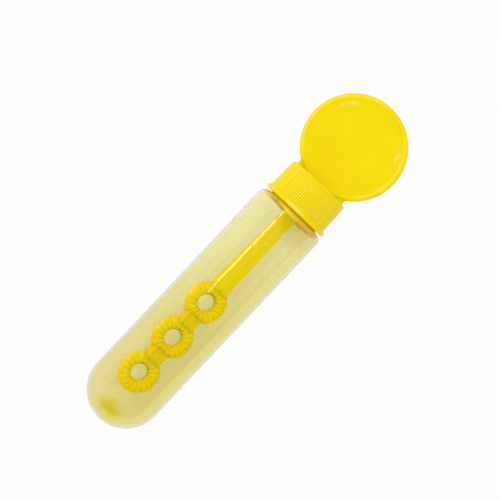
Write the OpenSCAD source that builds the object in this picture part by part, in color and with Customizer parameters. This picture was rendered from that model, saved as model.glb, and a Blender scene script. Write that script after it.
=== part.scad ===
// Bubble wand: a round-ended bottle, a screw cap with a grip disc, and a wand of three fluted rings.
// Every piece is worked out upright, with heights measured along +Z from the bottle's tip.
// The whole is then laid on its side: the cap points along +X and the disc faces up.

/* [Bottle] */
// Outside diameter of the bottle
bottle_d = 25; // [24.5:0.5:32]
// Thickness of the bottle's wall
bottle_wall = 0.6; // [0.4:0.05:1.3]
// Height of the shoulder's edge above the tip
shoulder_h = 89; // [82:1:120]
// Radius of the shoulder's corner
shoulder_r = 2; // [1.2:0.1:2.4]
// Rise of the shoulder from its corner to the neck
shoulder_rise = 0.6; // [0.2:0.05:0.8]
// Outside diameter of the neck, at the root of its thread
neck_d = 18.4; // [17.8:0.1:19]
// Thickness of the neck's wall
neck_wall = 0.8; // [0.7:0.05:1]
// Height of the neck's lip above the shoulder's edge
neck_h = 10.3; // [8.5:0.1:14]
// Radius that breaks the outer edge of the lip
lip_r = 0.3; // [0.1:0.05:0.5]

/* [Screw cap] */
// Gap between the shoulder's edge and the cap's mouth
mouth_gap = 0.9; // [0.8:0.05:1.5]
// Radial room for the thread between the neck and the cap's bore
thread_room = 0.8; // [0.6:0.05:1]
// Thickness of the skirt at its foot
skirt_wall = 1.2; // [1:0.05:1.5]
// Draft of the skirt: how far its radius falls from foot to top
skirt_draft = 0.25; // [0.1:0.05:0.4]
// Thickness of the cap's flat top
top_wall = 1.5; // [1.2:0.05:2.2]
// Radius of the cap's top edge
top_edge_r = 0.95; // [0.5:0.05:1.1]
// Bevel inside the cap's mouth
mouth_bevel = 0.3; // [0.1:0.05:0.5]
// Height of the bead round the mouth
bead_h = 1.5; // [1:0.05:2]
// How far the bead stands out from the skirt
bead_out = 0.75; // [0.4:0.05:0.9]
// Radius of the bead's edges
bead_r = 0.45; // [0.2:0.05:0.5]

/* [Grip ribs] */
// Angle from one rib to the next
rib_pitch = 4; // [3:0.5:6]
// Grooves to each side of the middle one, on the front and on the back
rib_side_count = 11; // [5:1:13]
// Depth of the grooves between the ribs
rib_depth = 0.28; // [0.15:0.01:0.35]
// Width of a groove at the skin
rib_groove_w = 0.58; // [0.3:0.02:0.6]
// Plain strip between the bead and the ribs
rib_foot_gap = 0.3; // [0.2:0.05:1]

/* [Grip disc] */
// Diameter of the grip disc
disc_d = 34.4; // [28:0.2:44]
// Thickness of the disc's rim
disc_t = 3; // [2.4:0.1:4]
// Width of the raised rim
rim_w = 1.8; // [1.2:0.1:3]
// Depth of the round recess inside the rim, on each face
recess_depth = 0.5; // [0.3:0.05:0.8]
// How far the recess widens from its floor to its mouth
recess_flare = 0.25; // [0.1:0.05:0.5]
// Radius of the disc's outer edges
disc_edge_r = 0.6; // [0.3:0.05:1]
// Cover left in the cap's top under the disc's lowest point
disc_cover = 0.1; // [0.05:0.05:0.4]
// Width of the foot that joins the disc to the cap
foot_w = 19.2; // [14:0.2:19.6]
// Height of the foot above the cap's top
foot_h = 1.5; // [0.8:0.1:3]

/* [Sealing wad] */
// Thickness of the wad between the lip and the cap's top
wad_t = 1; // [0.7:0.05:1.5]
// Radial clearance of the wad in the cap and round the socket
wad_clear = 0.3; // [0.2:0.05:0.5]

/* [Wand socket] */
// Diameter of the wand's peg
peg_d = 4; // [3.4:0.1:4.6]
// Length of the peg in its socket
peg_len = 5.9; // [4.5:0.1:6.5]
// Room between the peg's end and the cap's top
peg_room = 0.4; // [0.2:0.05:0.8]
// Radial clearance of the peg
peg_clear = 0.02; // [0.01:0.01:0.05]
// Thickness of the socket's wall
socket_wall = 1.6; // [1.2:0.1:2]
// Height of the collar that seats against the socket
collar_h = 1.2; // [0.8:0.1:2]

/* [Wand] */
// Room between the lowest ring and the inside of the bottle's tip
tip_room = 11.6; // [6:0.1:16]
// Width of the stick at its top
stick_top_w = 4.5; // [3.6:0.1:5]
// Width of the stick where it meets the upper ring
stick_low_w = 6.2; // [4.6:0.1:6.8]
// Thickness of the stick at its top
stick_top_t = 3.2; // [2.6:0.1:3.6]
// Thickness of the stick where it meets the upper ring
stick_low_t = 4.2; // [3:0.1:4.4]
// Number of rings
ring_count = 3; // [1:1:3]
// Distance from one ring to the next
ring_pitch = 15.25; // [15:0.05:16.5]
// Clearance of a ring in the neck, all round
ring_clear = 1.3; // [1.2:0.05:2]
// Thickness of a ring's round band
band_w = 4.4; // [3.6:0.05:4.8]
// Flutes round a ring
flute_count = 18; // [12:2:24]
// Depth of the flutes
flute_depth = 0.4; // [0.15:0.01:0.5]
// Share of the flute's pitch that its groove takes
flute_share = 0.3; // [0.2:0.05:0.5]
// Width of the web between two rings
web_w = 6; // [4:0.1:6.6]
// Thickness of the web
web_t = 4.2; // [2.6:0.1:4.4]
// Radius of the web's long edges
web_edge_r = 0.6; // [0.3:0.05:1]
// Turn of the wand about its own axis, against the disc's face
wand_turn = 24; // [0:1:60]
// Lean of the stick from the bottle's axis
wand_lean = 0.7; // [0:0.1:0.9]

/* [Hidden] */
$fn = 96;

bottle_color = [0.90, 0.86, 0.56, 0.55];
cap_color = [0.97, 0.87, 0.02];
wand_color = [0.95, 0.80, 0.10];
wad_color = [0.95, 0.95, 0.92];

// Overshoot of every cut past the face that it opens
cut = 1;

// Bottle and neck
bottle_r = bottle_d / 2;
neck_r = neck_d / 2;
neck_bore_r = neck_r - neck_wall;
lip_z = shoulder_h + neck_h;

// Screw cap
mouth_z = shoulder_h + mouth_gap;
cap_bore_r = neck_r + thread_room;
skirt_r = cap_bore_r + skirt_wall;
skirt_top_r = skirt_r - skirt_draft;
bead_top_z = mouth_z + bead_h;
bead_outer_r = skirt_r + bead_out;
ceiling_z = lip_z + wad_t;
cap_top_z = ceiling_z + top_wall;

// Ribs
rib_z = bead_top_z + rib_foot_gap;
rib_len = cap_top_z - rib_z + cut;
rib_lean = atan(skirt_draft / (cap_top_z - mouth_z));
rib_over = rib_depth;

// Grip disc
disc_r = disc_d / 2;
disc_z = ceiling_z + disc_cover + disc_r;
recess_r = disc_r - rim_w;

// Socket and wand
peg_r = peg_d / 2;
socket_r = peg_r + peg_clear;
boss_r = socket_r + socket_wall;
boss_z = ceiling_z - peg_len - peg_room;
stick_top_z = boss_z - collar_h / 2;
ring_r = neck_bore_r - ring_clear;
band_r = band_w / 2;
band_mid_r = ring_r - band_r;
upper_ring_z = bottle_wall + tip_room + ring_r + (ring_count - 1) * ring_pitch;
flute_pitch = 360 / flute_count;
rib_angle = flute_pitch * (1 - flute_share);
web_len = ring_pitch - 2 * band_mid_r;
web_groove_x = ring_r * sin(flute_pitch / 2);
web_groove_w = ring_r * flute_pitch * flute_share * PI / 180;

// The whole object lying on its side
total_len = disc_z + disc_r;
lying_h = max(bottle_r, bead_outer_r);

module laid() {
    translate([-total_len / 2, 0, lying_h])
        rotate([90, 0, 90])
            children();
}

// Rectangle from the axis out to r, with its two outer corners rounded
module round_edged(r, low, high, edge) {
    translate([0, low + edge])
        square([r, high - low - 2 * edge]);
    translate([0, low])
        square([r - edge, high - low]);
    for (y = [low + edge, high - edge])
        translate([r - edge, y])
            circle(edge);
}

// Half outline of the bottle, the wall's inner or outer skin
module bottle_outline(r, top, corner, neck) {
    translate([0, bottle_r])
        circle(r);
    translate([0, bottle_r])
        square([r, top - corner - bottle_r]);
    translate([0, bottle_r])
        square([r - corner, top - bottle_r]);
    translate([r - corner, top - corner])
        circle(corner);
    polygon([
        [0, bottle_r],
        [r - corner, top],
        [neck, top + shoulder_rise],
        [0, top + shoulder_rise]
    ]);
}

module bottle_section() {
    inner_corner_r = max(lip_r, shoulder_r - bottle_wall);
    intersection() {
        difference() {
            union() {
                bottle_outline(bottle_r, shoulder_h, shoulder_r, neck_r);
                round_edged(neck_r, shoulder_h - shoulder_r, lip_z, lip_r);
            }
            bottle_outline(bottle_r - bottle_wall, shoulder_h - bottle_wall, inner_corner_r, neck_bore_r);
            translate([0, bottle_r])
                square([neck_bore_r, lip_z - bottle_r + cut]);
        }
        square([bottle_d, lip_z + cut]);
    }
}

module bottle() {
    color(bottle_color)
        laid()
            rotate_extrude()
                bottle_section();
}

// Half section of the cap: skirt, bead, flat top, and the socket that hangs inside
module cap_section() {
    difference() {
        union() {
            polygon([
                [0, mouth_z + bead_r],
                [skirt_r, mouth_z + bead_r],
                [skirt_top_r, cap_top_z - top_edge_r],
                [skirt_top_r - top_edge_r, cap_top_z],
                [0, cap_top_z]
            ]);
            translate([skirt_top_r - top_edge_r, cap_top_z - top_edge_r])
                circle(top_edge_r);
            round_edged(bead_outer_r, mouth_z, bead_top_z, bead_r);
        }
        polygon([
            [boss_r, mouth_z - cut],
            [cap_bore_r + mouth_bevel + cut, mouth_z - cut],
            [cap_bore_r, mouth_z + mouth_bevel],
            [cap_bore_r, ceiling_z],
            [boss_r, ceiling_z]
        ]);
        translate([0, mouth_z - cut])
            square([boss_r + cut, boss_z - mouth_z + cut]);
        translate([0, boss_z - cut])
            square([socket_r, ceiling_z - boss_z + cut]);
    }
}

// Wedge that cuts one groove between two ribs, along the drafted skirt
module rib_groove() {
    mouth_w = rib_groove_w * (1 + rib_over / rib_depth);
    translate([skirt_r, 0, rib_z])
        rotate([0, -rib_lean, 0])
            linear_extrude(rib_len)
                polygon([[-rib_depth, 0], [rib_over, mouth_w / 2], [rib_over, -mouth_w / 2]]);
}

// The ribs stop where the two mould halves part, level with the disc
module rib_grooves() {
    for (face = [90, 270])
        for (i = [-rib_side_count : rib_side_count])
            rotate([0, 0, face + i * rib_pitch])
                rib_groove();
}

module grip_foot() {
    translate([0, 0, ceiling_z + disc_cover])
        linear_extrude(cap_top_z + foot_h - ceiling_z - disc_cover) {
            square([foot_w - 2 * disc_edge_r, disc_t], center = true);
            square([foot_w, disc_t - 2 * disc_edge_r], center = true);
            for (x = [-1, 1], y = [-1, 1])
                translate([x * (foot_w / 2 - disc_edge_r), y * (disc_t / 2 - disc_edge_r)])
                    circle(disc_edge_r);
        }
}

module grip_disc() {
    floor_y = disc_t / 2 - recess_depth;
    difference() {
        union() {
            translate([0, 0, disc_z])
                rotate([90, 0, 0])
                    rotate_extrude()
                        round_edged(disc_r, -disc_t / 2, disc_t / 2, disc_edge_r);
            grip_foot();
        }
        for (tilt = [-90, 90])
            translate([0, 0, disc_z])
                rotate([tilt, 0, 0])
                    translate([0, 0, floor_y])
                        cylinder(h = 2 * recess_depth, r1 = recess_r, r2 = recess_r + 2 * recess_flare);
    }
}

module screw_cap() {
    color(cap_color)
        laid() {
            difference() {
                rotate_extrude()
                    cap_section();
                rib_grooves();
            }
            grip_disc();
        }
}

module sealing_wad() {
    color(wad_color)
        laid()
            translate([0, 0, lip_z])
                difference() {
                    cylinder(h = wad_t, r = cap_bore_r - wad_clear);
                    translate([0, 0, -cut])
                        cylinder(h = wad_t + 2 * cut, r = boss_r + wad_clear);
                }
}

// Round section of a ring's band
module band_section(r) {
    translate([band_mid_r, 0])
        circle(r);
}

// One ring: a plain core with a rib between each two flutes
module fluted_ring() {
    rotate([90, 0, 0]) {
        rotate_extrude()
            band_section(band_r - flute_depth);
        for (i = [0 : flute_count - 1])
            rotate([0, 0, 90 + i * flute_pitch - rib_angle / 2])
                rotate_extrude(angle = rib_angle)
                    band_section(band_r);
    }
}

// Web between two rings, grooved in line with their flutes
module web() {
    difference() {
        linear_extrude(web_len) {
            square([web_w - 2 * web_edge_r, web_t], center = true);
            square([web_w, web_t - 2 * web_edge_r], center = true);
            for (x = [-1, 1], y = [-1, 1])
                translate([x * (web_w / 2 - web_edge_r), y * (web_t / 2 - web_edge_r)])
                    circle(web_edge_r);
        }
        for (x = [-1, 1], y = [-1, 1])
            translate([x * web_groove_x, y * web_t / 2, web_len / 2])
                cube([web_groove_w, 2 * flute_depth, web_len + 2 * cut], center = true);
    }
}

// Flat bar that widens and thickens from the socket down to the upper ring
module stick() {
    low_z = upper_ring_z + band_mid_r;
    intersection() {
        rotate([90, 0, 0])
            linear_extrude(stick_low_w, center = true)
                polygon([
                    [-stick_top_w / 2, stick_top_z],
                    [stick_top_w / 2, stick_top_z],
                    [stick_low_w / 2, low_z],
                    [-stick_low_w / 2, low_z]
                ]);
        rotate([90, 0, 90])
            linear_extrude(2 * stick_low_w, center = true)
                polygon([
                    [-stick_top_t / 2, stick_top_z],
                    [stick_top_t / 2, stick_top_z],
                    [stick_low_t / 2, low_z],
                    [-stick_low_t / 2, low_z]
                ]);
    }
}

module stick_and_rings() {
    stick();
    for (i = [0 : ring_count - 1])
        translate([0, 0, upper_ring_z - i * ring_pitch])
            fluted_ring();
    if (ring_count > 1)
        for (i = [0 : ring_count - 2])
            translate([0, 0, upper_ring_z - i * ring_pitch - band_mid_r - web_len])
                web();
}

module wand() {
    color(wand_color)
        laid() {
            translate([0, 0, boss_z - collar_h])
                cylinder(h = collar_h, r = boss_r);
            translate([0, 0, boss_z - collar_h / 2])
                cylinder(h = peg_len + collar_h / 2, r = peg_r);
            translate([0, 0, boss_z])
                rotate([0, -wand_lean, 0])
                    rotate([0, 0, wand_turn])
                        translate([0, 0, -boss_z])
                            stick_and_rings();
        }
}

bottle();
screw_cap();
sealing_wad();
wand();
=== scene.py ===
import math

import bmesh
import bpy
from bpy.props import FloatProperty, FloatVectorProperty, IntProperty, PointerProperty
from mathutils import Matrix, Vector


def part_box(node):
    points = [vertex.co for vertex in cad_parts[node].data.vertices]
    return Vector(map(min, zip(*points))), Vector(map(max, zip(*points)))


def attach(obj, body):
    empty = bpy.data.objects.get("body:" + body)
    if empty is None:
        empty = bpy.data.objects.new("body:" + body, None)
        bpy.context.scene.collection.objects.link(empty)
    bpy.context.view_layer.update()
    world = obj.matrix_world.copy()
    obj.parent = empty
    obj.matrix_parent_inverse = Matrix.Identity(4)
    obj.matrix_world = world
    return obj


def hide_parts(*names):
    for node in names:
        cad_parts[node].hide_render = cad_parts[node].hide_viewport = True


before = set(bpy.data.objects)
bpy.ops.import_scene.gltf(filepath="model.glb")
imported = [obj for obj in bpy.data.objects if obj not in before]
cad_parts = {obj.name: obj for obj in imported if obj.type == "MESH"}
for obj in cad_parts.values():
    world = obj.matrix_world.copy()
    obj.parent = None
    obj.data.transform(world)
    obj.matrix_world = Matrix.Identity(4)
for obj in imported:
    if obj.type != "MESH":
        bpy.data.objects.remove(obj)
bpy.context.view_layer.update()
BOTTLE_LOW, BOTTLE_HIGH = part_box("bottle")
CAP_LOW, CAP_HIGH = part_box("screw_cap")
_, WAD_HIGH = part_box("sealing_wad")

bl_info = {
    "name": "Bubble wand",
    "version": (1, 0, 0),
    "blender": (4, 5, 0),
    "location": "View3D > Sidebar > Bubble wand",
    "description": "Builds a bubble bottle with its screw cap, grip disc and ringed wand",
    "category": "Add Mesh",
}

MM = 0.001
TURN = 2 * math.pi

# Less than any detail, to tell one place from the next
HAIR = 0.01 * MM

# The bottle lies along X: its tip is the lowest X, and its axis is this high above the floor
TIP = BOTTLE_LOW.x
AXIS_HEIGHT = (BOTTLE_LOW.z + BOTTLE_HIGH.z) / 2

# Pieces are modelled upright with the bottle's tip at the origin, and laid down at the end
LAID = Matrix(
    (
        (0, 0, 1, TIP),
        (1, 0, 0, 0),
        (0, 1, 0, AXIS_HEIGHT),
        (0, 0, 0, 1),
    )
)


# Kinds of setting
def length(name, description, default):
    return FloatProperty(
        name=name,
        description=description,
        default=default,
        min=0.0,
        precision=5,
        unit="LENGTH",
        subtype="DISTANCE",
    )


def angle(name, description, degrees):
    return FloatProperty(
        name=name,
        description=description,
        default=math.radians(degrees),
        unit="ROTATION",
        subtype="ANGLE",
    )


def number(name, description, default):
    return FloatProperty(name=name, description=description, default=default, min=0.0)


def share(name, description, default):
    return FloatProperty(
        name=name, description=description, default=default, min=0.0, max=1.0, subtype="FACTOR"
    )


def count(name, description, default):
    return IntProperty(name=name, description=description, default=default, min=1)


def flat_size(name, description, default):
    return FloatVectorProperty(
        name=name,
        description=description,
        default=default,
        size=2,
        min=0.0,
        precision=5,
        unit="LENGTH",
        subtype="XYZ_LENGTH",
    )


def point(name, description, default):
    return FloatVectorProperty(
        name=name, description=description, default=default, unit="LENGTH", subtype="TRANSLATION"
    )


def colour(name, description, default):
    return FloatVectorProperty(
        name=name,
        description=description,
        default=default,
        size=3,
        min=0.0,
        max=1.0,
        subtype="COLOR",
    )


class BottleSettings(bpy.types.PropertyGroup):
    """Sizes and tint of the bottle"""

    diameter: length("Diameter", "Outside of the bottle", BOTTLE_HIGH.y - BOTTLE_LOW.y)
    wall: length("Wall", "Thickness of the bottle's wall", 0.6 * MM)
    shoulder_height: length("Shoulder height", "Height of the shoulder above the tip", 89 * MM)
    shoulder_radius: length("Shoulder radius", "Rounding of the shoulder's corner", 2 * MM)
    shoulder_rise: length("Shoulder rise", "Rise from the shoulder's edge to the neck", 0.6 * MM)
    neck_diameter: length("Neck diameter", "Outside of the neck, at the thread's root", 18.4 * MM)
    neck_wall: length("Neck wall", "Thickness of the neck's wall", 0.8 * MM)
    lip_height: length("Lip height", "Height of the lip above the tip", BOTTLE_HIGH.x - TIP)
    lip_radius: length("Lip radius", "Rounding of the lip's edges", 0.3 * MM)
    tint: colour("Tint", "What one wall lets through", (0.984, 0.968, 0.700))
    # The deep tint darkens the wall in random clouds, towards the tip and the sides, and as painted
    # shade on the right side and under the shoulder's right
    deep_tint_and_shade: colour("Deep tint", "Tint where the wall is a little thicker", (0.880, 0.828, 0.490))
    # A deeper yellow tint laid in a noisy patch in the tip
    patch_tint: colour("Thick tint", "Tint of the thick patch near the tip", (0.86, 0.77, 0.07))
    pass_tint: colour("Light tint", "Tint of light past one face of the wall", (0.995, 0.988, 0.62))
    # Painted light and shade: the shoulder is painted lit on its left and shaded on its right; the
    # neck colour paints shade in the gap under the bead and the cap's yellow seen through the neck,
    # over its thicker plastic
    lit_yellow: colour("Lit shoulder", "Colour of the shoulder's left side", (0.98, 0.80, 0.04))
    shaded_shoulder_yellow: colour("Shoulder", "Colour of the dense shoulder", (0.75, 0.51, 0.02))
    neck_yellow_and_shade: colour("Neck", "Colour of the dense neck", (0.82, 0.51, 0.04))


class ThreadSettings(bpy.types.PropertyGroup):
    """Sizes of the screw thread on the neck and in the cap"""

    pitch: length("Pitch", "Rise of the thread in one turn", 3.175 * MM)
    turns: number("Turns", "Length of the thread in turns", 1.25)
    run_out: share("Run-out", "Share of the thread that runs out at each end", 0.12)
    start: length("Start", "Height of the neck's thread start above the tip", 91.9 * MM)
    root_width: length("Root width", "Width of the ridge at its root", 1.1 * MM)
    crest_width: length("Crest width", "Width of the ridge at its crest", 0.5 * MM)
    neck_height: length("Neck ridge", "How far the ridge stands out from the neck", 0.6 * MM)
    cap_height: length("Cap ridge", "How far the ridge stands in from the cap's bore", 0.6 * MM)
    sunk: length("Sunk", "How far the ridge's root is sunk into its wall", 0.05 * MM)


class CapSettings(bpy.types.PropertyGroup):
    """Sizes and colours of the screw cap"""

    mouth_height: length("Mouth", "Height of the cap's mouth above the tip", CAP_LOW.x - TIP)
    mouth_chamfer: length("Mouth chamfer", "Chamfer inside the mouth", 0.3 * MM)
    ceiling_height: length("Ceiling", "Height of the cap's inside top", WAD_HIGH.x - TIP)
    top_wall: length("Top wall", "Thickness of the flat top", 1.5 * MM)
    bore_radius: length("Bore radius", "Inside of the skirt", 10 * MM)
    skirt_radius: length("Skirt radius", "Outside of the skirt at its foot", 11.2 * MM)
    draft: length("Draft", "How far the skirt narrows towards its top", 0.25 * MM)
    top_radius: length("Top edge", "Rounding of the top edge", 0.95 * MM)
    bead_radius: length("Bead radius", "Outside of the bead round the mouth", 11.95 * MM)
    bead_height: length("Bead height", "Height of the bead", 1.5 * MM)
    bead_edge: length("Bead edge", "Rounding of the bead's edges", 0.45 * MM)
    bead_fillet: length("Bead fillet", "Fillet between the bead and the skirt", 0.12 * MM)
    socket_radius: length("Socket", "Inside of the wand's socket", 2.02 * MM)
    boss_radius: length("Socket outside", "Outside of the wand's socket", 3.62 * MM)
    boss_height: length("Socket mouth", "Height of the socket's mouth above the tip", 94 * MM)
    rib_pitch: angle("Rib pitch", "Angle from one rib to the next", 4)
    rib_count: count("Ribs", "Grooves to each side of the middle", 11)
    rib_depth: length("Rib depth", "Depth of the grooves between the ribs", 0.28 * MM)
    rib_width: length("Groove width", "Width of a groove at the skin", 0.58 * MM)
    rib_foot: length("Rib foot", "Plain strip between the bead and the ribs", 0.3 * MM)
    rib_step: length("Rib step", "Height in which the grooves reach their depth", 0.05 * MM)
    yellow: colour("Yellow", "Colour of the cap's plastic", (0.890, 0.715, 0.0006))
    deep_yellow: colour("Deep yellow", "Colour of its thicker flow marks", (0.870, 0.682, 0.0006))
    # Painted highlight on the ribs' crests and painted shade between the ribs
    ridge_highlight_yellow: colour("Ridge yellow", "Colour of the ribs' crests", (0.955, 0.79, 0.03))
    groove_shade_yellow: colour("Groove yellow", "Colour between the ribs", (0.885, 0.62, 0.0006))
    # Painted light: this lighter colour lifts the shade on the step inside the rim
    step_light_yellow: colour("Step yellow", "Colour of the step inside the rim", (0.965, 0.775, 0.0006))
    # Painted highlights: this pale colour paints highlights on the bead, the rim, the step's lit
    # part and glints on the disc's faces
    highlit_yellow: colour("Worn yellow", "Colour of the worn bead and rim", (0.93, 0.76, 0.10))


class DiscSettings(bpy.types.PropertyGroup):
    """Sizes of the grip disc"""

    diameter: length("Diameter", "Outside of the disc", CAP_HIGH.y - CAP_LOW.y)
    thickness: length("Thickness", "Thickness of the rim", 3 * MM)
    rim: length("Rim", "Width of the raised rim", 1.8 * MM)
    recess: length("Recess", "Depth of the recess on each face", 0.5 * MM)
    flare: length("Flare", "How far the recess widens to its mouth", 0.45 * MM)
    edge: length("Edge", "Rounding of the outer edges", 0.6 * MM)
    mouth_edge: length("Mouth edge", "Rounding of the recess's mouth", 0.3 * MM)
    floor_edge: length("Floor edge", "Rounding round the recess's floor", 0.35 * MM)
    foot_width: length("Foot width", "Width of the foot on the cap", 19.2 * MM)
    cover: length("Cover", "Cap left under the disc's lowest point", 0.1 * MM)


class WandSettings(bpy.types.PropertyGroup):
    """Sizes and colours of the wand"""

    ring_count: count("Rings", "Number of rings", 3)
    upper_ring: length("Upper ring", "Height of the upper ring's middle above the tip", 49.8 * MM)
    ring_pitch: length("Ring pitch", "Distance from one ring to the next", 15.25 * MM)
    ring_radius: length("Ring radius", "Outside of a ring", 7.1 * MM)
    band: length("Band", "Thickness of a ring's round band", 4.4 * MM)
    flutes: count("Flutes", "Flutes round a ring", 18)
    flute_depth: length("Flute depth", "Depth of the flutes", 0.36 * MM)
    flute_shape: number("Flute shape", "Power of the flutes' curve, fuller when lower", 0.5)
    web_width: length("Web width", "Width of the web between two rings", 6 * MM)
    web_thickness: length("Web thickness", "Thickness of the web", 4.2 * MM)
    web_edge: length("Web edge", "Rounding of the web's long edges", 0.6 * MM)
    web_groove: length("Web groove", "Depth of the web's grooves", 0.2 * MM)
    groove_side: length("Groove side", "Half of the width of a web's groove", 0.5 * MM)
    stick_top: flat_size("Stick top", "Width and thickness at the socket", (4.5 * MM, 3.2 * MM))
    stick_low: flat_size("Stick foot", "Width and thickness at the rings", (6.2 * MM, 4.2 * MM))
    stick_edge: length("Stick edge", "Rounding of the stick's long edges", 0.5 * MM)
    collar: length("Collar", "Height of the collar under the socket", 1.2 * MM)
    collar_edge: length("Collar edge", "Rounding of the collar and the peg", 0.25 * MM)
    peg_radius: length("Peg", "Radius of the peg in the socket", 2 * MM)
    peg_length: length("Peg length", "Length of the peg in the socket", 5.9 * MM)
    turn: angle("Turn", "Turn of the wand about its own axis", 24)
    lean: angle("Lean", "Lean of the stick from the bottle's axis", 0.7)
    yellow: colour("Yellow", "Colour of the wand's plastic", (0.990, 0.808, 0.0150))
    deep_yellow: colour("Deep yellow", "Colour of its flow marks", (0.940, 0.695, 0.0130))
    # Painted shade, with an orange cast, on the webs and their crevices between the rings
    web_shade_yellow: colour("Web yellow", "Colour of the webs between the rings", (0.975, 0.675, 0.018))
    # Painted shade inside the rings' holes, where the inner wall lies in shadow
    hole_shade_yellow: colour("Hole yellow", "Colour inside the rings' holes", (0.66, 0.55, 0.012))
    # Painted highlights: pale glints on the stick
    glint_yellow: colour("Fleck yellow", "Colour of the stick's pale flecks", (0.95, 0.80, 0.30))


class WadSettings(bpy.types.PropertyGroup):
    """Colours of the sealing wad"""

    white: colour("White", "Colour of the wad", (0.86, 0.86, 0.82))
    shade: share("Shade", "Brightness of the wad's darker clouds", 0.93)


class StageSettings(bpy.types.PropertyGroup):
    """Camera, floor and light"""

    aim: point("Aim", "Point that the camera looks down on", (4.03 * MM, 1.695 * MM, 12.5 * MM))
    roll: angle("Roll", "Turn of the picture against the bottle's axis", -46.6875)
    distance: length("Distance", "Camera's height above its aim", 0.9)
    field: length("Field", "Width of the picture at the aim", 158.25 * MM)
    floor_radius: length("Floor radius", "Radius of the round floor", 3.0)
    floor_gap: length("Floor gap", "Gap between the floor and the object", 0.1 * MM)
    floor_white: colour("Floor", "Colour of the floor", (0.86, 0.86, 0.86))
    glow: share("Glow", "Share of plain white in the floor as the camera sees it", 0.95)
    glow_through: share("Glow through", "Share of plain white seen through the bottle", 0.70)
    fill: number("Fill", "Even light from all round", 0.82)
    left_level: number("Left side", "Brightness of the room's left side", 1.12)
    right_level: number("Right side", "Brightness of the room's right side", 0.88)
    right_gloss: number("Right gloss", "What gloss shows of the room's right side", 0.35)
    side_gloss: number("Side gloss", "What gloss shows of the room's sides", 0.75)
    top_gloss: number("Top gloss", "What gloss shows of the ceiling", 0.07)
    side_end: share("Side's end", "Height at which the bright sides start to fade", 0.42)
    top_start: share("Ceiling's start", "Height at which the dim ceiling starts", 0.66)
    key: number("Key", "Brightness of the large soft panel", 0.61)
    key_size: flat_size("Key size", "Size of the large soft panel", (1.3, 1.2))
    key_place: point("Key place", "Middle of the large soft panel", (0.20, 0.27, 0.95))
    strip: number("Strip", "Brightness of the narrow lamp", 16.0)
    strip_size: flat_size("Strip size", "Size of the narrow lamp", (0.58, 0.022))
    strip_place: point("Strip place", "Middle of the narrow lamp", (0.300, 0.36, 0.95))


# Mesh helpers
def wire(bm, points):
    """Joins (radius, height) points by edges in the plane that is spun round the axis."""
    verts = [bm.verts.new((r, 0, z)) for r, z in points]
    for pair in zip(verts, verts[1:]):
        bm.edges.new(pair)
    return verts


def round_off(bm, corners, radius, segments):
    """Rounds corners of a wire."""
    bmesh.ops.bevel(
        bm,
        geom=corners,
        offset=radius,
        offset_type="OFFSET",
        segments=segments,
        profile=0.5,
        affect="VERTICES",
        material=-1,
    )


def spin_up(bm, steps):
    """Turns the whole wire round the upright axis into a closed skin."""
    bmesh.ops.spin(
        bm,
        geom=bm.verts[:] + bm.edges[:],
        cent=(0, 0, 0),
        axis=(0, 0, 1),
        angle=TURN,
        steps=steps,
        use_merge=True,
    )
    bmesh.ops.remove_doubles(bm, verts=bm.verts, dist=HAIR / 100)
    bmesh.ops.recalc_face_normals(bm, faces=bm.faces)


def extrude(bm, outline, shift):
    """Draws a closed outline of vertices out into a bar."""
    made = bmesh.ops.extrude_face_region(bm, geom=[bm.faces.new(outline)])
    far = [g for g in made["geom"] if isinstance(g, bmesh.types.BMVert)]
    bmesh.ops.translate(bm, vec=shift, verts=far)
    bmesh.ops.recalc_face_normals(bm, faces=bm.faces)


def rising_edges(bm, rise):
    """Edges that climb by more than half of a rise."""
    return [e for e in bm.edges if abs(e.verts[0].co.z - e.verts[1].co.z) > 0.5 * rise]


def soften(bm, edges, radius, segments):
    """Bevels edges round."""
    bmesh.ops.bevel(
        bm,
        geom=edges,
        offset=radius,
        offset_type="OFFSET",
        segments=segments,
        profile=0.5,
        affect="EDGES",
        clamp_overlap=True,
        material=-1,
    )


def gather(bm, part, matrix):
    """Adds a finished part to a piece, moved by matrix."""
    bmesh.ops.transform(part, matrix=matrix, verts=part.verts)
    mesh = bpy.data.meshes.new("part")
    part.to_mesh(mesh)
    part.free()
    bm.from_mesh(mesh)
    bpy.data.meshes.remove(mesh)


def add_piece(name, bm, body, material, sharp, replaces=()):
    """Lays a piece in its place, smooths it up to a sharp angle and lets it ride on its body."""
    bmesh.ops.transform(bm, matrix=LAID, verts=bm.verts)
    mesh = bpy.data.meshes.new(name)
    bm.to_mesh(mesh)
    bm.free()
    mesh.shade_smooth()
    mesh.set_sharp_from_angle(angle=math.radians(sharp))
    mesh.materials.append(material)
    piece = bpy.data.objects.new(name, mesh)
    bpy.context.scene.collection.objects.link(piece)
    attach(piece, body)
    if replaces:
        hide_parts(*replaces)


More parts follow.
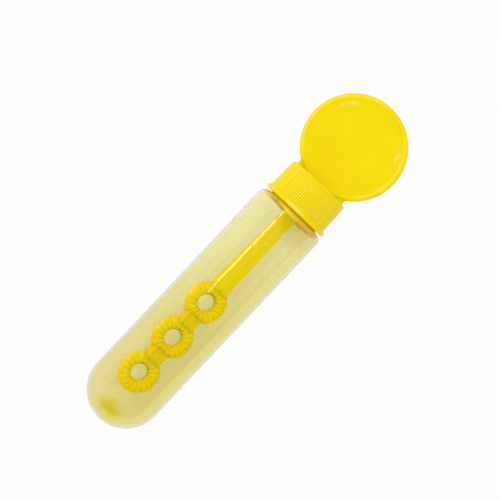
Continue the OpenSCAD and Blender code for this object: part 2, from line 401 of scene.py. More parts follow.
# Material helpers
class Nodes:
    """A node tree, with short calls to add and link nodes."""

    def __init__(self, tree):
        self.tree = tree
        self.tree.nodes.clear()

    def node(self, kind, **values):
        """Adds a node and sets its sockets by name, spaces written as underscores."""
        made = self.tree.nodes.new(kind)
        for key, value in values.items():
            self.set(made.inputs[key.replace("_", " ")], value)
        return made

    def set(self, socket, value):
        """Links a socket to another one, or gives it a value."""
        if isinstance(value, bpy.types.NodeSocket):
            self.tree.links.new(value, socket)
        elif isinstance(socket, bpy.types.NodeSocketColor) and len(value) == 3:
            socket.default_value = (*value, 1)
        else:
            socket.default_value = value

    def math(self, operation, first, second):
        """One sum, product or the like of two values."""
        made = self.tree.nodes.new("ShaderNodeMath")
        made.operation = operation
        self.set(made.inputs[0], first)
        self.set(made.inputs[1], second)
        return made.outputs["Value"]

    def times(self, first, *others):
        """The product of values."""
        for other in others:
            first = self.math("MULTIPLY", first, other)
        return first

    def total(self, first, *others):
        """The sum of values."""
        for other in others:
            first = self.math("ADD", first, other)
        return first

    def apart(self, value, middle):
        """How far a value is from a middle, either way."""
        return self.math("ABSOLUTE", self.math("SUBTRACT", value, middle), 0.0)

    def spread(self, value, low, high, start=0.3, end=0.7, curve="LINEAR"):
        """Goes from low to high while a value goes from start to end."""
        made = self.node(
            "ShaderNodeMapRange", Value=value, From_Min=start, From_Max=end, To_Min=low, To_Max=high
        )
        made.interpolation_type = curve
        return made.outputs["Result"]

    def onset(self, value, start, end):
        """Goes from 0 to 1 while a value goes from start to end."""
        return self.spread(value, 0.0, 1.0, start, end)

    def fade(self, value, start, end):
        """Goes from 1 to 0 while a value goes from start to end."""
        return self.spread(value, 1.0, 0.0, start, end)

    def blend(self, factor, first, second):
        """Goes from one number to another."""
        return self.node("ShaderNodeMix", Factor=factor, A=first, B=second).outputs["Result"]

    def between(self, factor, first, second):
        """Goes from one colour to another."""
        made = self.tree.nodes.new("ShaderNodeMix")
        made.data_type = "RGBA"
        self.set(made.inputs["Factor"], factor)
        self.set(made.inputs["A"], first)
        self.set(made.inputs["B"], second)
        return made.outputs["Result"]

    def mix(self, factor, first, second):
        """Goes from one shader to another."""
        made = self.tree.nodes.new("ShaderNodeMixShader")
        for socket, value in zip(made.inputs, (factor, first, second)):
            self.set(socket, value)
        return made.outputs["Shader"]


class Shading(Nodes):
    """A material's node tree, with patterns in Object coordinates."""

    def __init__(self, name):
        self.material = bpy.data.materials.new(name)
        self.material.use_nodes = True
        super().__init__(self.material.node_tree)
        self.output = self.node("ShaderNodeOutputMaterial")
        self.place = self.node("ShaderNodeTexCoord").outputs["Object"]

    def axes(self):
        """Places along the bottle, to its left and up, in metres."""
        return self.node("ShaderNodeSeparateXYZ", Vector=self.place).outputs

    def noise(self, scale, detail=2.0, rough=0.5, stretch=None):
        """Cloudy noise, drawn out where its stretch along an axis is below 1."""
        place = self.place
        if stretch:
            place = self.node("ShaderNodeMapping", Vector=place, Scale=stretch).outputs["Vector"]
        made = self.node(
            "ShaderNodeTexNoise", Vector=place, Scale=scale, Detail=detail, Roughness=rough
        )
        return made.outputs["Fac"]

    def away(self, centre, reach):
        """Distance from a centre, with the reach along each axis as 1 and a reach of 0 left out."""
        scale = [1 / r if r else 0 for r in reach]
        shift = [-c * k for c, k in zip(centre, scale)]
        place = self.node("ShaderNodeMapping", Vector=self.place, Location=shift, Scale=scale)
        made = self.node("ShaderNodeVectorMath", Vector=place.outputs["Vector"])
        made.operation = "LENGTH"
        return made.outputs["Value"]

    def bump(self, height, strength, distance, normal=None):
        """A skin raised by a pattern, on top of another one where a normal is given."""
        made = self.node("ShaderNodeBump", Height=height, Strength=strength, Distance=distance)
        if normal:
            self.set(made.inputs["Normal"], normal)
        return made.outputs["Normal"]

    def finish(self, shader):
        """Shows a shader as the material's surface."""
        self.set(self.output.inputs["Surface"], shader)
        return self.material


def get_material(name, make):
    """The material of this name, made once."""
    return bpy.data.materials.get(name) or make(name)


def moulded(s, base, gloss, shine):
    """Satin moulded plastic of a base colour, with a fine grain."""
    grain = s.noise(scale=2600)
    ripple = s.noise(scale=420)
    rippled = s.bump(ripple, strength=0.18, distance=0.08 * MM)
    plastic = s.node(
        "ShaderNodeBsdfPrincipled",
        Base_Color=base,
        Roughness=s.spread(ripple, gloss, gloss + 0.08),
        IOR=1.46,
        Specular_IOR_Level=shine,
        Subsurface_Weight=0.4,
        Subsurface_Radius=(1.0, 0.6, 0.1),
        Subsurface_Scale=1.2 * MM,
        Normal=s.bump(grain, strength=0.05, distance=0.04 * MM, normal=rippled),
    )
    return s.finish(plastic.outputs["BSDF"])


# Painted highlight and shade on the cap's ribs: how far to each side they reach, and the share of a
# groove's depth over which they change from painted shade in the grooves to painted highlight
RIBS_FADE = (7.9 * MM, 8.3 * MM)
RIB_SHADE = 0.8

# The painted highlight on the bead: how far to the left it is, and its reach along, across and up
BEAD_SPOT_LEFT = 0.6 * MM
BEAD_SPOT_REACH = (1.0 * MM, 4.4 * MM, 0)

# Distances inside the disc's edge of the painted highlight on its rim and of the step to the recess
RIM_HIGHLIGHT = 0.75 * MM
RIM_STEP = 1.5 * MM

# Places, from right to left, where the rim's painted highlight and the step's painted light set in,
# and where the step's lit part on the right, a painted highlight, ends
HIGHLIGHT_START = (-1 * MM, 8 * MM)
STEP_START = (-6 * MM, 2 * MM)
LIT_END = (-13 * MM, -9 * MM)

# The disc's painted highlights and light set in between these heights above the cap's flat top,
# clear of the foot
FOOT_FADE = (1.5 * MM, 5 * MM)

# Painted glints of light on the disc's faces, ahead of its middle and to the left of it, on one
# ring
FACE_GLINTS = ((8.9 * MM, 11.0 * MM), (6.8 * MM, -11.7 * MM))
GLINT_REACH = (4.2 * MM, 4.2 * MM, 0)
GLINT_RING = 14.0 * MM


def cap_places(c):
    """Where the cap's mouth and its flat top are along X."""
    return TIP + c.mouth_height, TIP + c.ceiling_height + c.top_wall


def rib_highlight_and_shade(s, c, base):
    """Adds painted highlights on the crests and painted shade in the grooves where the skirt is
    ribbed.
    """
    along, left, _ = s.axes()
    mouth, top = cap_places(c)
    foot = mouth + c.bead_height + c.rib_foot
    narrowed = s.times(s.math("SUBTRACT", along, mouth), c.draft / (top - mouth))
    skin = s.total(s.away((0, 0, AXIS_HEIGHT), (0, 1, 1)), narrowed)
    # Painted shade in the grooves, painted highlight on the crests
    groove = c.skirt_radius - RIB_SHADE * c.rib_depth
    ridge = s.onset(skin, groove, c.skirt_radius)
    ribbed = s.times(
        s.onset(along, foot - 2 * c.rib_step, foot),
        s.fade(along, top - c.top_radius, top - 0.5 * c.top_radius),
        s.fade(s.apart(left, 0.0), *RIBS_FADE),
    )
    return s.between(ribbed, base, s.between(ridge, c.groove_shade_yellow, c.ridge_highlight_yellow))


def bead_highlight(s, c, base):
    """Adds a painted highlight on the front of the bead."""
    mouth, _ = cap_places(c)
    # Painted highlight on the bead
    spot = s.away((mouth + c.bead_height / 2, BEAD_SPOT_LEFT, 0), BEAD_SPOT_REACH)
    return s.between(s.spread(spot, 0.8, 0.0, 0.5, 0.95), base, c.highlit_yellow)


def disc_painted_light(s, c, d, base):
    """Adds painted highlights on the disc's rim and the step's lit part, painted light on the
    step's shaded part, and painted glints on the faces.
    """
    along, left, _ = s.axes()
    _, top = cap_places(c)
    radius = d.diameter / 2
    middle = TIP + c.ceiling_height + d.cover + radius
    out = s.away((middle, 0, 0), (1, 1, 0))
    off_foot = s.onset(along, *(top + fade for fade in FOOT_FADE))
    # Painted highlight along the rim's left side
    highlit = s.times(
        s.fade(s.apart(out, radius - RIM_HIGHLIGHT), 0.1 * MM, 0.6 * MM),
        s.spread(left, 0.1, 1.0, *HIGHLIGHT_START),
        off_foot,
        s.spread(s.noise(480, 3.0), 0.5, 1.0),
    )
    base = s.between(highlit, base, c.highlit_yellow)
    step = s.apart(out, radius - RIM_STEP)
    # Painted light: the step's shaded part is lifted to a lighter yellow
    shaded = s.times(
        s.fade(step, 0.3 * MM, 0.7 * MM),
        s.onset(left, *STEP_START),
        off_foot,
    )
    base = s.between(shaded, base, c.step_light_yellow)
    lit = s.times(
        s.spread(step, 0.8, 0.0, 0.1 * MM, 0.5 * MM),
        s.fade(left, *LIT_END),
        off_foot,
    )
    base = s.between(lit, base, c.highlit_yellow)
    # Painted glints of light on one ring of the faces
    glint_band = s.times(
        s.fade(s.apart(out, GLINT_RING), 0.4 * MM, 1.1 * MM),
        s.spread(s.noise(520, 3.0), 0.0, 0.9, 0.44, 0.56),
    )
    for ahead, aside in FACE_GLINTS:
        near = s.away((middle + ahead, aside, 0), GLINT_REACH)
        face_glint = s.times(s.fade(near, 0.3, 1.0), glint_band)
        base = s.between(face_glint, base, c.highlit_yellow)
    return base


def cap_yellow(name):
    """Moulded yellow with flow marks, ribs with painted highlights and shade, and painted
    highlights on the bead and disc.
    """
    c, d = bpy.context.scene.bubble_cap, bpy.context.scene.bubble_disc
    s = Shading(name)
    flow = s.spread(s.noise(110, 3.0, 0.55), 0.0, 1.0)
    base = s.between(flow, c.yellow, c.deep_yellow)
    base = rib_highlight_and_shade(s, c, base)
    base = bead_highlight(s, c, base)
    base = disc_painted_light(s, c, d, base)
    return moulded(s, base, gloss=0.16, shine=0.12)


# Tones of the wand: how much finer its streaks are along and across, where the painted glints set
# in, and the reach along, across and up of the painted shade on the webs and in the holes
STREAKS = (0.08, 14, 14)
GLINTS_START = (0.0, 10 * MM)
WEB_REACH = (4.8 * MM, 4.2 * MM, 0)
HOLE_REACH = (3.3 * MM, 2.5 * MM, 0)

# The painted shade in a hole sits ahead of the ring's middle and to the right of it
HOLE_AHEAD = 0.55 * MM
HOLE_RIGHT = 0.2 * MM


def wand_yellow(name):
    """Moulded yellow with streaks and painted glints along the stick, and painted shade on the webs
    and in the holes.
    """
    c, w = bpy.context.scene.bubble_cap, bpy.context.scene.bubble_wand
    s = Shading(name)
    along, _, _ = s.axes()
    flow = s.spread(s.noise(110, 3.0, 0.55, STREAKS), 0.0, 1.0)
    # Painted highlights: pale glints on the stick
    glints = s.times(
        s.onset(along, *GLINTS_START),
        s.spread(s.noise(620, 3.0), 0.0, 0.9, 0.54, 0.61),
    )
    base = s.between(glints, s.between(flow, w.yellow, w.deep_yellow), w.glint_yellow)
    for i in range(w.ring_count):
        height = w.upper_ring - i * w.ring_pitch
        ring = TIP + height
        if i:
            # Painted shade on the web and its crevices
            web = s.away((ring + w.ring_pitch / 2, 0, 0), WEB_REACH)
            base = s.between(s.fade(web, 0.6, 1.1), base, w.web_shade_yellow)
        leaned = (c.boss_height - height) * math.sin(w.lean)
        # Painted shade in the hole
        hole = s.away((ring + HOLE_AHEAD, leaned - HOLE_RIGHT, 0), HOLE_REACH)
        base = s.between(s.fade(hole, 0.85, 1.1), base, w.hole_shade_yellow)
    return moulded(s, base, gloss=0.30, shine=0.08)


# The deep yellow patch inside the bottle's tip: its middle above the tip, and its reach
PATCH_HEIGHT = 4.4 * MM
PATCH_REACH = (4 * MM, 8.5 * MM, 0)

# The dense plastic starts lower in a sag, by its depth, its place to the left and its half width
SAG = 1.2 * MM
SAG_LEFT = -3 * MM
SAG_WIDTH = 9 * MM

# The shoulder's painted shade turns to painted light between these places, from right to left
LEDGE_FADE = (-3 * MM, 2 * MM)

# The neck's tone starts below the shoulder's edge and is full above it
NECK_FADE = (-0.7 * MM, 0.3 * MM)


def wall_tint(s, b):
    """A tint that deepens towards the tip and the sides, with painted shade on the right and under
    the shoulder's right side, and a deep yellow patch in the tip.
    """
    along, left, _ = s.axes()
    shoulder = TIP + b.shoulder_height
    clouds = s.spread(s.noise(35), 0.0, 0.15)
    lower_half = s.spread(along, 0.58, 0.0, TIP + 35 * MM, shoulder - 11 * MM)
    both_sides = s.spread(s.apart(left, 0.0), 0.0, 0.25, 5.5 * MM, 10.5 * MM)
    # Painted shade: the right side darker, where the wand's shadow falls
    right_side = s.spread(left, 0.35, 0.0, -10 * MM, 2 * MM)
    round_end = s.spread(along, 0.4, 0.0, TIP + 1 * MM, TIP + 8 * MM)
    # Painted shade under the shoulder's right side
    under_shoulder = s.times(
        s.spread(along, 0.0, 0.7, shoulder - 9.6 * MM, shoulder - 1.6 * MM),
        s.fade(left, -3 * MM, 0.0),
    )
    drift = s.total(clouds, lower_half, both_sides, right_side, round_end, under_shoulder)
    in_tip = s.fade(s.away((TIP + PATCH_HEIGHT, 0, 0), PATCH_REACH), 0.0, 1.0)
    patch = s.onset(s.times(in_tip, s.noise(520, 5.0)), 0.15, 0.4)
    return s.between(patch, s.between(drift, b.tint, b.deep_tint_and_shade), b.patch_tint)


def dense_plastic_and_shade(s, b):
    """How much of the dense plastic of shoulder and neck shows, and its shader, which paints in
    shade and the cap's yellow.
    """
    along, left, _ = s.axes()
    shoulder = TIP + b.shoulder_height
    neck_start, neck_full = (shoulder + fade for fade in NECK_FADE)
    aside = s.away((0, SAG_LEFT, 0), (0, SAG_WIDTH, 0))
    sag = s.spread(s.times(aside, aside), SAG, 0.0, 0.0, 1.0)
    shown = s.spread(
        s.total(along, sag), 0.0, 0.7, shoulder - 0.3 * b.shoulder_radius, neck_full
    )
    shade = s.fade(left, *LEDGE_FADE)
    ledge = s.between(shade, b.lit_yellow, b.shaded_shoulder_yellow)
    rise = s.onset(along, neck_start, neck_full)
    tone = s.between(rise, ledge, b.neck_yellow_and_shade)
    solid = s.node("ShaderNodeBsdfPrincipled", Base_Color=tone, Roughness=0.2)
    return shown, solid.outputs["BSDF"]


def tinted_clear(name):
    """Blown see-through plastic with slight waves and a soft gloss. Lamps shine through it."""
    b = bpy.context.scene.bubble_bottle
    s = Shading(name)
    waves = s.noise(60, 1.0, 0.4, stretch=(0.25, 1, 1))
    clear = s.node(
        "ShaderNodeBsdfPrincipled",
        Base_Color=wall_tint(s, b),
        Roughness=s.spread(s.noise(900), 0.05, 0.10),
        IOR=1.49,
        Transmission_Weight=1.0,
        Normal=s.bump(waves, strength=0.06, distance=0.4 * MM),
    )
    # The dense shoulder and neck carry painted shade and the cap's yellow painted in as seen
    # through them
    shown, solid = dense_plastic_and_shade(s, b)
    seen = s.mix(shown, clear.outputs["BSDF"], solid)
    through = s.node("ShaderNodeBsdfTransparent", Color=b.pass_tint)
    path = s.node("ShaderNodeLightPath").outputs
    lamps = s.math("MAXIMUM", path["Is Shadow Ray"], path["Is Diffuse Ray"])
    return s.finish(s.mix(lamps, seen, through.outputs["BSDF"]))


def wad_white(name):
    """Matt white polyethylene, slightly cloudy, with a finely dimpled skin."""
    wad = bpy.context.scene.bubble_wad
    s = Shading(name)
    dimples = s.node("ShaderNodeTexVoronoi", Vector=s.place, Scale=1600.0).outputs["Distance"]
    clouds = s.spread(s.noise(300, 3.0), 0.0, 1.0)
    darker = tuple(wad.shade * channel for channel in wad.white)
    matt = s.node(
        "ShaderNodeBsdfPrincipled",
        Base_Color=s.between(clouds, wad.white, darker),
        Roughness=s.spread(dimples, 0.55, 0.75, 0.0, 0.6),
        Normal=s.bump(dimples, strength=0.3, distance=0.08 * MM),
    )
    return s.finish(matt.outputs["BSDF"])


def floor_paper(name):
    """White paper: plain white to the camera, with part of the shadow that falls on it."""
    stage = bpy.context.scene.bubble_stage
    s = Shading(name)
    paper = s.node("ShaderNodeBsdfDiffuse", Color=stage.floor_white)
    white = s.node("ShaderNodeEmission", Color=(1, 1, 1), Strength=1.0)
    path = s.node("ShaderNodeLightPath").outputs
    seen = s.math("MAXIMUM", path["Is Camera Ray"], path["Is Glossy Ray"])
    glow = s.spread(path["Is Transmission Ray"], stage.glow, stage.glow_through, 0.0, 1.0)
    return s.finish(s.mix(s.times(seen, glow), paper.outputs["BSDF"], white.outputs["Emission"]))


class BUBBLE_OT_bottle(bpy.types.Operator):
    """Blow the round-ended bottle with its shoulder and neck"""

    bl_idname = "bubble.bottle"
    bl_label = "Bottle"

    def execute(self, context):
        b = context.scene.bubble_bottle
        outer, neck = b.diameter / 2, b.neck_diameter / 2
        inner, bore = outer - b.wall, neck - b.neck_wall
        roof = b.shoulder_height - b.wall
        bm = bmesh.new()
        inner_tip = bm.verts.new((0, 0, b.wall))
        bmesh.ops.spin(
            bm, geom=[inner_tip], cent=(0, 0, outer), axis=(0, -1, 0), angle=TURN / 4, steps=28
        )
        inner_side = max(bm.verts, key=lambda v: v.co.x)
        path = wire(
            bm,
            [
                (inner, roof),
                (bore, roof + b.shoulder_rise),
                (bore, b.lip_height),
                (neck, b.lip_height),
                (neck, b.shoulder_height + b.shoulder_rise),
                (outer, b.shoulder_height),
                (outer, outer),
            ],
        )
        bm.edges.new((inner_side, path[0]))
        bmesh.ops.spin(
            bm, geom=[path[-1]], cent=(0, 0, outer), axis=(0, 1, 0), angle=TURN / 4, steps=30
        )
        round_off(bm, [path[0]], b.shoulder_radius - b.wall, segments=6)
        round_off(bm, [path[1], path[4]], b.lip_radius, segments=4)
        round_off(bm, [path[2], path[3]], b.lip_radius, segments=4)
        round_off(bm, [path[5]], b.shoulder_radius, segments=10)
        spin_up(bm, steps=480)
        material = get_material("bottle_tinted_clear", tinted_clear)
        add_piece(
            "bottle_shell", bm, "bottle", material, sharp=50, replaces=["bottle"]
        )
        return {"FINISHED"}


def thread_ridge(t, start, root, crest):
    """One screw ridge as a closed bar that runs out at both ends."""
    half_root, half_crest = t.root_width / 2, t.crest_width / 2
    bm = bmesh.new()
    section = wire(
        bm,
        [
            (root, start - half_root),
            (crest, start - half_crest),
            (crest, start + half_crest),
            (root, start + half_root),
        ],
    )
    bm.edges.new((section[-1], section[0]))
    bm.faces.new(section)
    sweep, steps = t.turns * TURN, 120
    bmesh.ops.spin(
        bm,
        geom=bm.faces[:],
        cent=(0, 0, 0),
        axis=(0, 0, 1),
        dvec=(0, 0, t.pitch * t.turns / steps),
        angle=sweep,
        steps=steps,
        use_merge=False,
    )
    fade = t.run_out * sweep
    for v in bm.verts:
        reach = math.hypot(v.co.x, v.co.y)
        turned = math.atan2(v.co.y, v.co.x) % TURN
        along = (v.co.z - start) / t.pitch * TURN
        turned += TURN * round((along - turned) / TURN)
        height = min(1.0, max(0.0, turned / fade), max(0.0, (sweep - turned) / fade))
        scale = (root + (reach - root) * height) / reach
        v.co.x *= scale
        v.co.y *= scale
    bmesh.ops.recalc_face_normals(bm, faces=bm.faces)
    return bm


class BUBBLE_OT_threads(bpy.types.Operator):
    """Wind the screw thread on the neck and its mate in the cap"""

    bl_idname = "bubble.threads"
    bl_label = "Threads"

    def execute(self, context):
        scene = context.scene
        b, c, t = scene.bubble_bottle, scene.bubble_cap, scene.bubble_thread
        neck, bore = b.neck_diameter / 2, c.bore_radius
        bm = thread_ridge(t, t.start, neck - t.sunk, neck + t.neck_height)
        clear = get_material("bottle_tinted_clear", tinted_clear)
        add_piece("neck_thread", bm, "bottle", clear, sharp=35)
        bm = thread_ridge(t, t.start + t.pitch / 2, bore + t.sunk, bore - t.cap_height)
        yellow = get_material("cap_moulded_yellow", cap_yellow)
        add_piece("cap_thread", bm, "cap", yellow, sharp=35)
        return {"FINISHED"}


class BUBBLE_OT_screw_cap(bpy.types.Operator):
    """Mould the cap's ribbed skirt with its bead, flat top and inner socket"""

    bl_idname = "bubble.screw_cap"
    bl_label = "Screw cap"

    def execute(self, context):
        c = context.scene.bubble_cap
        top = c.ceiling_height + c.top_wall
        bead_top = c.mouth_height + c.bead_height
        rib_start = bead_top + c.rib_foot
        slope = c.draft / (top - c.mouth_height)

        def skirt(z):
            return c.skirt_radius - slope * (z - c.mouth_height)

        bm = bmesh.new()
        path = wire(
            bm,
            [
                (0, top),
                (skirt(top), top),
                (skirt(rib_start + c.rib_step), rib_start + c.rib_step),
                (skirt(rib_start), rib_start),
                (skirt(bead_top), bead_top),
                (c.bead_radius, bead_top),
                (c.bead_radius, c.mouth_height),
                (c.bore_radius + c.mouth_chamfer, c.mouth_height),
                (c.bore_radius, c.mouth_height + c.mouth_chamfer),
                (c.bore_radius, c.ceiling_height),
                (c.boss_radius, c.ceiling_height),
                (c.boss_radius, c.boss_height),
                (c.socket_radius, c.boss_height),
                (c.socket_radius, c.ceiling_height),
                (0, c.ceiling_height),
            ],
        )
        round_off(bm, [path[1]], c.top_radius, segments=8)
        round_off(bm, [path[4]], c.bead_fillet, segments=3)
        round_off(bm, [path[5], path[6]], c.bead_edge, segments=6)
        spin_up(bm, steps=720)
        self.cut_ribs(bm, c, rib_start, skirt)
        material = get_material("cap_moulded_yellow", cap_yellow)
        add_piece("cap_skirt", bm, "cap", material, sharp=70, replaces=["screw_cap"])
        return {"FINISHED"}

    def cut_ribs(self, bm, c, rib_start, skirt):
        """Draws the skirt in to grooves on its front and its back."""
        half = 0.5 * c.rib_width / c.skirt_radius
        for v in bm.verts:
            reach = math.hypot(v.co.x, v.co.y)
            if v.co.z < rib_start + HAIR or reach < c.bore_radius + 10 * HAIR:
                continue
            turned = math.atan2(v.co.y, v.co.x)
            off = turned % (TURN / 2) - TURN / 4
            nearest = round(off / c.rib_pitch)
            aside = abs(off - nearest * c.rib_pitch)
            if abs(nearest) > c.rib_count or aside >= half:
                continue
            cut = skirt(v.co.z) - c.rib_depth * (1 - aside / half)
            if cut < reach:
                v.co.x *= cut / reach
                v.co.y *= cut / reach


def disc_foot(d, low, centre):
    """The foot on the cap, with its upper end along the disc's edge."""
    flat, side, half = d.diameter / 2 - d.edge, d.foot_width / 2, d.thickness / 2
    swing = math.asin(side / flat)
    high = centre - flat * math.cos(swing)
    bm = bmesh.new()
    start = bm.verts.new((side, -half, high))
    bmesh.ops.spin(
        bm, geom=[start], cent=(0, -half, centre), axis=(0, 1, 0), angle=2 * swing, steps=24
    )
    arc = sorted(bm.verts, key=lambda v: -v.co.x)
    corners = [bm.verts.new((x, -half, low)) for x in (-side, side)]
    extrude(bm, arc + corners, (0, d.thickness, 0))
    soften(bm, rising_edges(bm, high - low), d.edge, segments=6)
    return bm


class BUBBLE_OT_grip_disc(bpy.types.Operator):
    """Mould the round grip disc with its raised rim and the foot on the cap"""

    bl_idname = "bubble.grip_disc"
    bl_label = "Grip disc"

    def execute(self, context):
        c, d = context.scene.bubble_cap, context.scene.bubble_disc
        radius, half = d.diameter / 2, d.thickness / 2
        low = c.ceiling_height + d.cover
        centre = low + radius
        recess = radius - d.rim
        bm = bmesh.new()
        path = wire(
            bm,
            [
                (0, half - d.recess),
                (recess, half - d.recess),
                (recess + d.flare, half),
                (radius, half),
                (radius, -half),
                (recess + d.flare, -half),
                (recess, d.recess - half),
                (0, d.recess - half),
            ],
        )
        round_off(bm, [path[3], path[4]], d.edge, segments=8)
        round_off(bm, [path[2], path[5]], d.mouth_edge, segments=5)
        round_off(bm, [path[1], path[6]], d.floor_edge, segments=5)
        spin_up(bm, steps=240)
        upright = Matrix.Translation((0, 0, centre)) @ Matrix.Rotation(TURN / 4, 4, "X")
        bmesh.ops.transform(bm, matrix=upright, verts=bm.verts)
        gather(bm, disc_foot(d, low, centre), Matrix.Identity(4))
        material = get_material("cap_moulded_yellow", cap_yellow)
        add_piece("grip_disc", bm, "cap", material, sharp=40, replaces=["screw_cap"])
        return {"FINISHED"}


def fluted_ring(w):
    """One ring: a round band spun round the ring's axis, drawn in along its flutes."""
    band = w.band / 2
    middle = w.ring_radius - band
    bm = bmesh.new()
    start = bm.verts.new((middle + band, 0, 0))
    bmesh.ops.spin(
        bm, geom=[start], cent=(middle, 0, 0), axis=(0, 0, 1), angle=TURN, steps=36, use_merge=True
    )
    bmesh.ops.spin(
        bm,
        geom=bm.verts[:] + bm.edges[:],
        cent=(0, 0, 0),
        axis=(0, 1, 0),
        angle=TURN,
        steps=w.flutes * 16,
        use_merge=True,
    )
    for v in bm.verts:
        turned = math.atan2(v.co.z, v.co.x)
        heart = Vector((math.cos(turned), 0, math.sin(turned))) * middle
        petal = abs(math.cos(w.flutes / 2 * (turned - TURN / 4))) ** w.flute_shape
        drawn_in = w.flute_depth * (1 - petal)
        v.co = heart + (v.co - heart) * (1 - drawn_in / band)
    bmesh.ops.recalc_face_normals(bm, faces=bm.faces)
    return bm


def ring_web(w, span):
    """The web between two rings, grooved in line with their flutes."""
    x, y = w.web_width / 2, w.web_thickness / 2
    groove = w.ring_radius * math.sin(math.pi / w.flutes)
    side = w.groove_side
    front = [
        (x, y),
        (groove + side, y),
        (groove, y - w.web_groove),
        (groove - side, y),
        (side - groove, y),
        (-groove, y - w.web_groove),
        (-groove - side, y),
        (-x, y),
    ]
    back = [(-a, -b) for a, b in front]
    bm = bmesh.new()
    outline = [bm.verts.new((a, b, -span / 2)) for a, b in front + back]
    extrude(bm, outline, (0, 0, span))
    corners = [e for e in rising_edges(bm, span) if abs(e.verts[0].co.x) > x - HAIR]
    soften(bm, corners, w.web_edge, segments=5)
    return bm


def wand_stick(w, low, high):
    """The flat stick, wider and thicker towards the upper ring."""
    bm = bmesh.new()
    bmesh.ops.create_cube(bm, size=1.0)
    for v in bm.verts:
        wide, thick = w.stick_top if v.co.z > 0 else w.stick_low
        v.co = Vector((v.co.x * wide, v.co.y * thick, high if v.co.z > 0 else low))
    soften(bm, rising_edges(bm, high - low), w.stick_edge, segments=5)
    return bm


class BUBBLE_OT_wand(bpy.types.Operator):
    """Mould the wand: fluted rings with their webs, stick, and the collar and peg under the cap"""

    bl_idname = "bubble.wand"
    bl_label = "Wand"

    def execute(self, context):
        c, w = context.scene.bubble_cap, context.scene.bubble_wand
        middle = w.ring_radius - w.band / 2
        pivot = Matrix.Translation((0, 0, c.boss_height))
        tilt = Matrix.Rotation(-w.lean, 4, "Y") @ Matrix.Rotation(w.turn, 4, "Z")
        hang = pivot @ tilt @ pivot.inverted()
        bm = bmesh.new()
        path = wire(
            bm,
            [
                (0, c.boss_height - w.collar),
                (c.boss_radius, c.boss_height - w.collar),
                (c.boss_radius, c.boss_height),
                (w.peg_radius, c.boss_height),
                (w.peg_radius, c.boss_height + w.peg_length),
                (0, c.boss_height + w.peg_length),
            ],
        )
        round_off(bm, [path[1], path[4]], w.collar_edge, segments=4)
        spin_up(bm, steps=72)
        stick = wand_stick(w, w.upper_ring + middle, c.boss_height - w.collar / 2)
        gather(bm, stick, hang)
        for i in range(w.ring_count):
            height = w.upper_ring - i * w.ring_pitch
            gather(bm, fluted_ring(w), hang @ Matrix.Translation((0, 0, height)))
            if i:
                web = ring_web(w, w.ring_pitch - 2 * middle)
                gather(bm, web, hang @ Matrix.Translation((0, 0, height + w.ring_pitch / 2)))
        material = get_material("wand_moulded_yellow", wand_yellow)
        add_piece("wand_moulding", bm, "cap", material, sharp=50, replaces=["wand"])
        return {"FINISHED"}


class BUBBLE_OT_wad(bpy.types.Operator):
    """Give the sealing wad its white polyethylene"""

    bl_idname = "bubble.wad"
    bl_label = "Sealing wad"

    def execute(self, context):
        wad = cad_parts["sealing_wad"]
        wad.data.materials.clear()
        wad.data.materials.append(get_material("wad_white_polyethylene", wad_white))
        return {"FINISHED"}


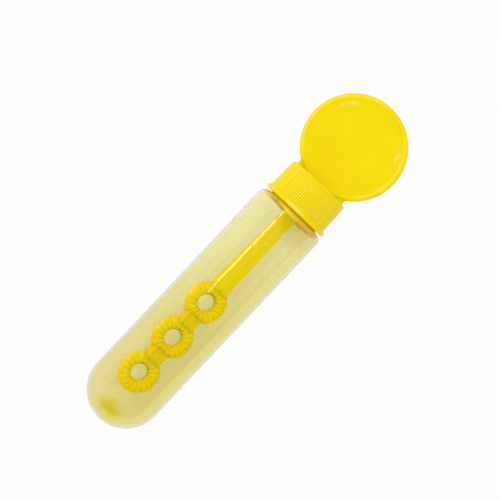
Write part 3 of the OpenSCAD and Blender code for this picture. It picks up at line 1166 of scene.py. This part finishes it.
class BUBBLE_OT_stage(bpy.types.Operator):
    """Set up the floor, the light and the camera"""

    bl_idname = "bubble.stage"
    bl_label = "Stage"

    def execute(self, context):
        scene, stage = context.scene, context.scene.bubble_stage
        self.floor(scene, stage)
        self.world(scene, stage)
        key = self.panel(scene, "key_panel", stage.key, stage.key_size, stage.key_place, (0, 0, 0))
        key.visible_glossy = key.visible_transmission = False
        across = (stage.strip_place[0], 0, 0)
        self.panel(scene, "strip_lamp", stage.strip, stage.strip_size, stage.strip_place, across)
        self.camera(scene, stage)
        scene.view_settings.view_transform = "Standard"
        return {"FINISHED"}

    def floor(self, scene, stage):
        """A round sheet of paper just under the object."""
        bm = bmesh.new()
        bmesh.ops.create_circle(
            bm, cap_ends=True, cap_tris=False, segments=64, radius=stage.floor_radius
        )
        bmesh.ops.translate(bm, vec=(0, 0, -stage.floor_gap), verts=bm.verts)
        mesh = bpy.data.meshes.new("floor")
        bm.to_mesh(mesh)
        bm.free()
        mesh.materials.append(get_material("floor_white_paper", floor_paper))
        floor = bpy.data.objects.new("floor", mesh)
        scene.collection.objects.link(floor)

    def world(self, scene, stage):
        """An even room, white to the camera, that shows gloss bright sides and a dim ceiling."""
        world = bpy.data.worlds.new("studio_room")
        world.use_nodes = True
        world.cycles.sampling_method = "NONE"
        s = Nodes(world.node_tree)
        path = s.node("ShaderNodeLightPath").outputs
        glossy = path["Is Glossy Ray"]
        place = s.node("ShaderNodeTexCoord").outputs["Generated"]
        _, left, up = s.node("ShaderNodeSeparateXYZ", Vector=place).outputs
        gloss = s.spread(
            up, stage.side_gloss, stage.top_gloss, stage.side_end, stage.top_start, "SMOOTHSTEP"
        )
        level = s.blend(glossy, stage.fill, gloss)
        right = s.blend(glossy, stage.right_level, stage.right_gloss)
        lean = s.spread(left, right, stage.left_level, -1.0, 1.0)
        strength = s.times(level, lean)
        room = s.node("ShaderNodeBackground", Color=(1, 1, 1), Strength=strength)
        white = s.node("ShaderNodeBackground", Color=(1, 1, 1), Strength=1.0)
        both = s.mix(
            path["Is Camera Ray"], room.outputs["Background"], white.outputs["Background"]
        )
        s.node("ShaderNodeOutputWorld", Surface=both)
        scene.world = world

    def panel(self, scene, name, brightness, size, place, target):
        """A soft panel that faces its target, with its brightness as white is 1."""
        data = bpy.data.lights.new(name, "AREA")
        data.shape = "RECTANGLE"
        data.size, data.size_y = size
        data.energy = brightness * math.pi * size[0] * size[1]
        lamp = bpy.data.objects.new(name, data)
        lamp.location = place
        aim = Vector(target) - Vector(place)
        lamp.rotation_euler = aim.to_track_quat("-Z", "Y").to_euler()
        scene.collection.objects.link(lamp)
        return lamp

    def camera(self, scene, stage):
        """A camera that looks straight down on its aim."""
        data = bpy.data.cameras.new("camera")
        data.sensor_width = 36.0
        data.lens = data.sensor_width * stage.distance / stage.field
        camera = bpy.data.objects.new("camera", data)
        camera.location = Vector(stage.aim) + Vector((0, 0, stage.distance))
        camera.rotation_euler = (0, 0, stage.roll)
        scene.collection.objects.link(camera)
        scene.camera = camera


class BUBBLE_PT_panel(bpy.types.Panel):
    """Bubble wand settings in the sidebar"""

    bl_idname = "BUBBLE_PT_panel"
    bl_label = "Bubble wand"
    bl_space_type = "VIEW_3D"
    bl_region_type = "UI"
    bl_category = "Bubble wand"

    def draw(self, context):
        for operator in OPERATORS:
            self.layout.operator(operator.bl_idname)
        for name, group in GROUPS.items():
            box = self.layout.box()
            box.label(text=group.__doc__)
            for prop in group.__annotations__:
                box.prop(getattr(context.scene, name), prop)


GROUPS = {
    "bubble_bottle": BottleSettings,
    "bubble_thread": ThreadSettings,
    "bubble_cap": CapSettings,
    "bubble_disc": DiscSettings,
    "bubble_wand": WandSettings,
    "bubble_wad": WadSettings,
    "bubble_stage": StageSettings,
}
OPERATORS = (
    BUBBLE_OT_stage,
    BUBBLE_OT_bottle,
    BUBBLE_OT_threads,
    BUBBLE_OT_screw_cap,
    BUBBLE_OT_grip_disc,
    BUBBLE_OT_wand,
    BUBBLE_OT_wad,
)


def register():
    for name, group in GROUPS.items():
        bpy.utils.register_class(group)
        setattr(bpy.types.Scene, name, PointerProperty(type=group))
    for cls in (*OPERATORS, BUBBLE_PT_panel):
        bpy.utils.register_class(cls)


def unregister():
    for cls in (BUBBLE_PT_panel, *OPERATORS):
        bpy.utils.unregister_class(cls)
    for name, group in GROUPS.items():
        delattr(bpy.types.Scene, name)
        bpy.utils.unregister_class(group)


def main():
    register()
    bpy.ops.bubble.stage()
    bpy.ops.bubble.bottle()
    bpy.ops.bubble.threads()
    bpy.ops.bubble.screw_cap()
    bpy.ops.bubble.grip_disc()
    bpy.ops.bubble.wand()
    bpy.ops.bubble.wad()


if __name__ == "__main__":
    main()
